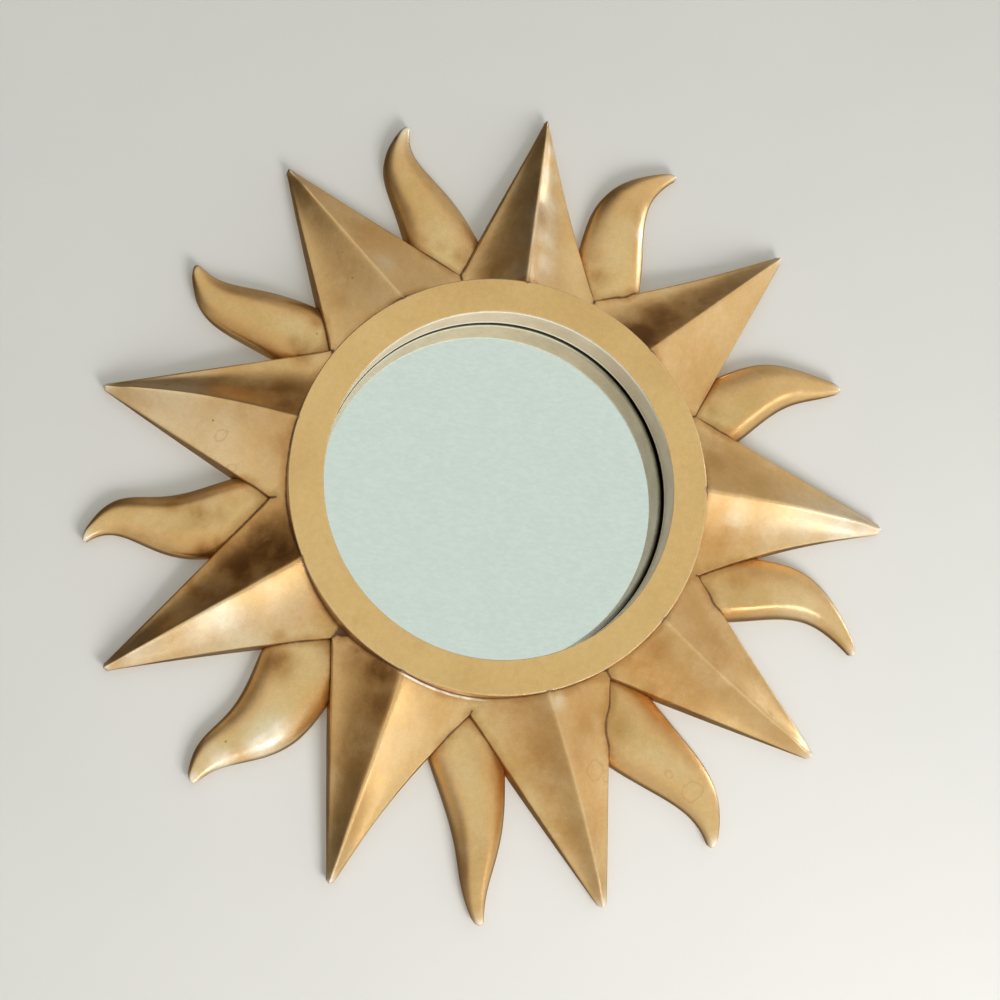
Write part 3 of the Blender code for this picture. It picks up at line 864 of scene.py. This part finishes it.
    # painted highlight: a pale line above the gap's painted shade, and a pale mouth edge on the upper
    # side, where it looks down; there the painted shade in the gap under the wall is lighter and lower
    litUpperSide = ranged(tree, minus(tree, parts.outputs["Z"], ringCentre.z), 0.03, 0.09)
    aboveShade = minus(tree, aboveLip, ranged(tree, litUpperSide, 0.0, 1.0, 0.0036, 0.0020))
    highlightAboveShade = ranged(tree, aboveShade, 0.0040, 0.0016)
    recessColour = mixColour(tree, highlightAboveShade, recessColour, gold["recessEdgeHighlight"])
    # painted shade at the foot of the recess wall: lighter on the upper side, dark elsewhere
    gapShadeColour = mixColour(tree, litUpperSide, gold["rebate"], gold["gap"])
    recessColour = mixColour(tree, ranged(tree, aboveShade, 0.0, -0.0008), recessColour, gapShadeColour)
    # painted highlight: a pale line at the mouth's edge on the upper side
    mouth = times(tree, litUpperSide, ranged(tree, wallGap, ringHeight - 0.0042, ringHeight - 0.0030))
    recessColour = mixColour(tree, mouth, recessColour, gold["mouth"])
    colour = mixColour(tree, recessed, colour, recessColour)
    # the rebate under the lip is near black: dark paint and painted shade
    colour = mixColour(tree, rebated, colour, gold["rebate"])
    # close to, no two grains of the gilding are quite alike
    speckle = times(tree, ranged(tree, grain, 0.3, 0.7, 0.93, 1.05),
                    ranged(tree, fine, 0.3, 0.7, 0.96, 1.03))
    brightness = addNode(tree, "HueSaturation")
    tree.links.new(colour, brightness.inputs["Color"])
    tree.links.new(speckle, brightness.inputs["Value"])
    tree.links.new(brightness.outputs["Color"], shader.inputs["Base Color"])

    shader.inputs["Specular IOR Level"].default_value = 0.3
    shader.inputs["Coat Weight"].default_value = 0.3
    shader.inputs["Coat Roughness"].default_value = 0.24
    rough = ranged(tree, blotch, 0.3, 0.7, 0.31, 0.42)
    rough = plus(tree, rough, times(tree, faceOn, 0.10))
    rough = plus(tree, rough, times(tree, dirty, 0.15))
    rough = minus(tree, rough, times(tree, rubbedAndHighlight, 0.10))
    rough = plus(tree, rough, times(tree, bare, 0.3), clamp=True)
    tree.links.new(rough, shader.inputs["Roughness"])
    dull = most(tree, ranged(tree, patinaAndShade, 0.3, 1.0, 0.0, 0.12), dirty)
    dull = most(tree, dull, most(tree, bare, rebated))
    dull = most(tree, dull, recessed)
    dull = most(tree, dull, times(tree, most(tree, wornAndHighlight, footLineHighlight), 0.75))
    tree.links.new(ranged(tree, dull, 0.0, 1.0, 0.94, 0.05, smooth=False), shader.inputs["Metallic"])

    relief = times(tree, fine, 0.5)
    relief = plus(tree, relief, times(tree, grain, 0.16))
    relief = plus(tree, relief, times(tree, blotch, 0.9))
    relief = minus(tree, relief, times(tree, pit, 0.35))
    bumped(tree, shader, relief, 0.0003, 0.7)
    return material


silver = {
    "clear": (0.875, 0.905, 0.855),
    "hazy": (0.85, 0.88, 0.83),
    "rippleReflection": (0.815, 0.85, 0.80),
    "edgeShade": (0.05, 0.035, 0.015),
}


def makeMirror():
    material, tree, shader = newMaterial("silveredGlass")
    point = objectPoint(tree)
    haze = cloud(tree, point, 160.0, 3.0, 0.6, 1.0)
    # painted reflection: a fine ripple, as of a textured ceiling, in the silver's colour
    rippleReflection = cloud(tree, objectPoint(tree, (0.45, 1.0, 1.0)), 420.0, 3.0, 0.6, 3.0)
    colour = mixColour(tree, ranged(tree, haze, 0.35, 0.7), silver["clear"], silver["hazy"])
    colour = mixColour(tree, ranged(tree, rippleReflection, 0.35, 0.65), colour, silver["rippleReflection"])
    # painted shade: the silver is dark along the edge on one side
    way, radius = fromCentre(tree, point)
    edgeShade = plus(tree, radius, times(tree, haze, 0.0010))
    edgeShade = ranged(tree, edgeShade, casting["openingRadius"] - 0.0042, casting["openingRadius"] - 0.0006)
    side = ranged(tree, reachTowards(tree, way, mirror["edgeShadeTowards"]), 0.045, 0.110)
    colour = mixColour(tree, times(tree, edgeShade, side), colour, silver["edgeShade"])
    tree.links.new(colour, shader.inputs["Base Color"])
    shader.inputs["Metallic"].default_value = 1.0
    tree.links.new(ranged(tree, haze, 0.4, 0.8, 0.012, 0.05), shader.inputs["Roughness"])
    return material


hardboard = {
    "brown": (0.155, 0.085, 0.042),
    "light": (0.215, 0.125, 0.065),
    "fibre": (0.33, 0.21, 0.12),
    "dark": (0.07, 0.035, 0.018),
}


def makeHardboard():
    material, tree, shader = newMaterial("brownHardboard")
    point = objectPoint(tree)
    fibre = cloud(tree, objectPoint(tree, (1.0, 1.0, 3.0)), 620.0, 6.0, 0.7, 2.0)
    broad = cloud(tree, point, 12.0, 4.0, 0.6, 5.0)
    colour = mixColour(tree, ranged(tree, broad, 0.35, 0.65), hardboard["brown"], hardboard["light"])
    colour = mixColour(tree, ranged(tree, fibre, 0.48, 0.72, 0.0, 0.6), colour, hardboard["fibre"])
    colour = mixColour(tree, ranged(tree, fibre, 0.26, 0.42, 0.5, 0.0), colour, hardboard["dark"])
    tree.links.new(colour, shader.inputs["Base Color"])
    tree.links.new(ranged(tree, broad, 0.3, 0.7, 0.48, 0.66), shader.inputs["Roughness"])
    bumped(tree, shader, fibre, 0.00012, 0.6)
    return material


zincColours = {"bright": (0.62, 0.62, 0.60), "dull": (0.48, 0.49, 0.50)}


def makeZinc():
    material, tree, shader = newMaterial("zincPlate")
    point = objectPoint(tree, (0.25, 1.0, 1.0))
    rolled = cloud(tree, point, 2400.0, 3.0, 0.6, 3.0)
    cloudy = cloud(tree, objectPoint(tree), 240.0, 4.0, 0.6, 8.0)
    faded = ranged(tree, cloudy, 0.35, 0.7)
    colour = mixColour(tree, faded, zincColours["bright"], zincColours["dull"])
    tree.links.new(colour, shader.inputs["Base Color"])
    shader.inputs["Metallic"].default_value = 1.0
    tree.links.new(ranged(tree, cloudy, 0.3, 0.7, 0.28, 0.46), shader.inputs["Roughness"])
    bumped(tree, shader, rolled, 0.00003, 0.5)
    return material


dress(sunburst, makeGold(), ["sunburst_frame"])
print("gold finished")


# The glass: its silver shows part of the way down into its thickness

mirror = {"edgeRounding": 0.0004, "steps": 240, "silverSink": 0.0015, "edgeShadeTowards": 8.0}


def makeMirrorDisc():
    top, bottom = -glassLow.y - mirror["silverSink"], -glassHigh.y
    rounding = mirror["edgeRounding"]
    profile = [(glassRadius * i / 12, top) for i in range(12)]
    profile += [(glassRadius - rounding, top), (glassRadius, top - rounding),
                (glassRadius, bottom), (0.0, bottom)]
    return spinProfile("round_mirror", profile, mirror["steps"])


disc = makeMirrorDisc()
standAgainstWall(disc, 30)
dress(disc, makeMirror(), ["mirror_glass"])

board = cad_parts["back_board"]
board.data.materials.clear()
board.data.materials.append(makeHardboard())
print("glass and board set")


# The toothed strip and its two nails

def bentDepth(x):
    # depth of the strip's outer face below the wall plane: flat in the middle, stepped at the feet
    step = hanger["length"] / 2 - hanger["foot"]
    floor = hanger["recessDepth"] - hanger["gap"] - hanger["thickness"]
    ramp = hanger["recessDepth"]
    share = (abs(x) - step + ramp) / ramp
    return floor * easing(share)


def makeHanger(zinc):
    half, low, high = hanger["length"] / 2, -hanger["width"] / 2, hanger["width"] / 2
    flat = 2 * (half - hanger["foot"] - hanger["recessDepth"])
    pitch = flat / hanger["teeth"]
    outline = [(-half, high), (-half, low)]
    for i in range(hanger["teeth"]):
        x = (i - (hanger["teeth"] - 1) / 2) * pitch
        wide = pitch * hanger["toothShare"] / 2
        outline += [(x - wide, low), (x, low + hanger["toothDepth"]), (x + wide, low)]
    outline += [(half, low), (half, high)]
    bm = bmesh.new()
    rim = bm.faces.new([bm.verts.new((x, y, 0.0)) for x, y in outline])
    corners = [v for v in rim.verts if abs(abs(v.co.x) - half) < 1e-6]
    bmesh.ops.bevel(bm, geom=corners, offset=hanger["cornerCut"], segments=4, profile=0.5,
                    affect="VERTICES", material=-1)
    for i in range(1, hanger["slices"]):
        x = between(-half, half, i / hanger["slices"])
        bmesh.ops.bisect_plane(bm, geom=bm.verts[:] + bm.edges[:] + bm.faces[:], dist=1e-7,
                               plane_co=(x, 0, 0), plane_no=(1, 0, 0))
    made = bmesh.ops.extrude_face_region(bm, geom=bm.faces[:])
    lifted = {v for v in made["geom"] if isinstance(v, bmesh.types.BMVert)}
    for vert in bm.verts:
        vert.co.z = bentDepth(vert.co.x) + (hanger["thickness"] if vert in lifted else 0.0)
    bmesh.ops.recalc_face_normals(bm, faces=bm.faces)
    edges = [e for e in bm.edges if e.calc_face_angle(0.0) > math.radians(60)]
    bmesh.ops.bevel(bm, geom=edges, offset=hanger["edgeCut"], segments=2, profile=0.5,
                    affect="EDGES", material=-1)
    bmesh.ops.translate(bm, verts=bm.verts, vec=(*hanger["centre"], 0.0))
    strip = newObject("sawtooth_strip", bm)
    standAgainstWall(strip, 30)
    dress(strip, zinc, ["toothed_hanger"])


def makeNail(side, zinc):
    node = f"hanger_nail_{side}"
    low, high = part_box(node)
    centre = ((low.x + high.x) / 2, (low.z + high.z) / 2 - ringCentre.z)
    outside, point = -high.y, -low.y
    head, tall, shank = nail["headRadius"], nail["headHeight"], nail["shankRadius"]
    dome = [(0.0, outside)] + [(head * math.sin(a), outside + 0.62 * tall * (1 - math.cos(a)))
                               for a in (math.radians(d) for d in (20, 40, 60, 80))]
    profile = dome + [(head, outside + 0.72 * tall), (head * 0.97, outside + tall),
                      (shank, outside + tall), (shank, point - 2.4 * shank), (0.0, point)]
    pin = spinProfile(f"flat_nail_{side}", profile, nail["steps"], centre)
    standAgainstWall(pin, 30)
    dress(pin, zinc, [node])


zincPlate = makeZinc()
makeHanger(zincPlate)
for nailSide in ("left", "right"):
    makeNail(nailSide, zincPlate)
print("hanger made")


# Wall, floor, light and camera

room = {
    "wallWidth": 6.0,
    "wallHeight": 3.6,
    "floorDrop": 1.45,
    "floorDepth": 6.0,
    "wallGap": 0.0006,
    "wallColour": (0.715, 0.705, 0.70),
    "floorColour": (0.74, 0.73, 0.72),
    # each lamp's place from the ring's centre, width, height, watts and colour
    "windowLamp": ((0.85, -1.1, -1.15), 0.8, 0.7, 22.0, (1.0, 0.98, 0.95)),
    "backLamp": ((0.9, 2.2, 1.2), 2.0, 2.0, 70.0, (1.0, 0.99, 0.97)),
}


def stageSheet(name, width, depth, colour):
    bm = bmesh.new()
    bmesh.ops.create_grid(bm, x_segments=2, y_segments=2, size=0.5)
    bmesh.ops.scale(bm, verts=bm.verts, vec=(width, depth, 1.0))
    sheet = newObject(name, bm)
    material, tree, shader = newMaterial(name + "Paint")
    mottle = cloud(tree, objectPoint(tree), 3.0, 5.0, 0.6, 1.0)
    pale = mixColour(tree, ranged(tree, mottle, 0.3, 0.7), colour, tuple(c * 0.97 for c in colour))
    tree.links.new(pale, shader.inputs["Base Color"])
    shader.inputs["Roughness"].default_value = 0.9
    shader.inputs["Specular IOR Level"].default_value = 0.15
    sheet.data.materials.append(material)
    return sheet, tree, shader


def makeRoom():
    # the wall can't be seen from behind, so that the back of the mirror can
    width, height = room["wallWidth"], room["wallHeight"]
    wall, tree, shader = stageSheet("plainWall", width, height, room["wallColour"])
    wall.data.transform(Matrix.Rotation(math.radians(90), 4, "X"))
    wall.data.transform(Matrix.Translation(
        (0.0, room["wallGap"], ringCentre.z - room["floorDrop"] + height / 2)))
    clear = addNode(tree, "BsdfTransparent")
    choose = addNode(tree, "MixShader")
    tree.links.new(addNode(tree, "NewGeometry").outputs["Backfacing"], choose.inputs["Fac"])
    tree.links.new(shader.outputs["BSDF"], choose.inputs[1])
    tree.links.new(clear.outputs["BSDF"], choose.inputs[2])
    tree.links.new(choose.outputs["Shader"], tree.nodes["Material Output"].inputs["Surface"])
    wall.visible_shadow = False
    wall.visible_glossy = False
    wall.visible_diffuse = False
    floor, _, _ = stageSheet("plainFloor", width, room["floorDepth"], room["floorColour"])
    floor.data.transform(Matrix.Translation((0.0, 0.0, ringCentre.z - room["floorDrop"])))
    floor.visible_glossy = False


light = {
    "front": (0.708, 0.782, 0.738),
    "around": (0.76, 0.725, 0.655),
    "dark": (0.045, 0.032, 0.018),
    "middling": (0.50, 0.48, 0.435),
    "bright": (0.78, 0.76, 0.71),
    "behind": (0.11, 0.085, 0.06),
    "brightSide": (0.866, 0.0, -0.50),
    "backdrop": (0.78, 0.78, 0.77),
    "mottle": (0.5, 0.5, 0.5),
    "windowColour": (0.84, 0.90, 0.95),
    # direction and brightness of each window, and the cosines of its outer and inner edge
    "windows": (
        ((0.470, -0.407, -0.783), 15.0, 0.9945, 0.9985),
        ((0.900, -0.242, -0.363), 7.0, 0.9945, 0.9985),
        ((0.862, 0.309, 0.402), 10.0, 0.9930, 0.9980),
    ),
}


def makeWorld():
    world = bpy.data.worlds.new("softStudio")
    bpy.context.scene.world = world
    world.use_nodes = True
    tree = world.node_tree
    direction = addNode(tree, "TexCoord").outputs["Generated"]
    parts = addNode(tree, "SeparateXYZ")
    tree.links.new(direction, parts.inputs["Vector"])
    facing = times(tree, parts.outputs["Y"], -1.0)

    def towards(place):
        node = addNode(tree, "VectorMath", operation="DOT_PRODUCT")
        tree.links.new(direction, node.inputs[0])
        node.inputs[1].default_value = Vector(place).normalized()
        return node.outputs["Value"]

    side = towards(light["brightSide"])
    horizon = mixColour(tree, ranged(tree, side, -0.85, -0.15), light["dark"], light["middling"])
    horizon = mixColour(tree, ranged(tree, side, 0.0, 0.9), horizon, light["bright"])
    mottle = cloud(tree, direction, 60.0, 4.0, 0.6, 2.0)
    front = mixColour(tree, ranged(tree, mottle, 0.3, 0.7, 0.0, 0.05), light["front"], light["mottle"])
    colour = mixColour(tree, ranged(tree, facing, 0.33, 0.66), horizon, light["around"])
    colour = mixColour(tree, ranged(tree, facing, 0.74, 0.90), colour, front)
    colour = mixColour(tree, ranged(tree, facing, -0.85, -0.25, 1.0, 0.0), colour, light["behind"])
    for place, strength, outerEdge, innerEdge in light["windows"]:
        glow = ranged(tree, towards(place), outerEdge, innerEdge)
        colour = mixColour(tree, glow, colour, tuple(strength * c for c in light["windowColour"]))
    seen = addNode(tree, "LightPath").outputs["Is Camera Ray"]
    colour = mixColour(tree, seen, colour, light["backdrop"])
    background = tree.nodes["Background"]
    tree.links.new(colour, background.inputs["Color"])
    background.inputs["Strength"].default_value = 1.0


def areaLamp(name, offset, width, height, watts, colour):
    place = ringCentre + Vector(offset)
    data = bpy.data.lights.new(name, "AREA")
    data.shape = "RECTANGLE"
    data.size = width
    data.size_y = height
    data.energy = watts
    data.color = colour
    lamp = bpy.data.objects.new(name, data)
    bpy.context.scene.collection.objects.link(lamp)
    lamp.location = place
    lamp.rotation_euler = (ringCentre - place).to_track_quat("-Z", "Y").to_euler()
    lamp.visible_camera = False
    lamp.visible_glossy = False


viewer = {
    "place": (-0.15681, -1.15415, -0.42197),
    "looksAt": (0.00683, 0.0, -0.18536),
    "rollDegrees": 7.22,
    "lens": 57.6,
    "sensor": 36.0,
}


def makeCamera():
    data = bpy.data.cameras.new("viewer")
    data.lens = viewer["lens"]
    data.sensor_width = viewer["sensor"]
    data.clip_start = 0.01
    camera = bpy.data.objects.new("viewer", data)
    bpy.context.scene.collection.objects.link(camera)
    place, target = Vector(viewer["place"]), Vector(viewer["looksAt"])
    roll = math.radians(viewer["rollDegrees"])
    up = Vector((-math.sin(roll), 0.0, math.cos(roll)))
    back = (place - target).normalized()
    right = up.cross(back).normalized()
    turn = Matrix((right, back.cross(right), back)).transposed()
    camera.matrix_world = Matrix.Translation(place) @ turn.to_4x4()
    bpy.context.scene.camera = camera


makeRoom()
makeWorld()
for lampName in ("windowLamp", "backLamp"):
    areaLamp(lampName, *room[lampName])
makeCamera()
bpy.context.scene.view_settings.view_transform = "Standard"
print("room, light and camera ready")
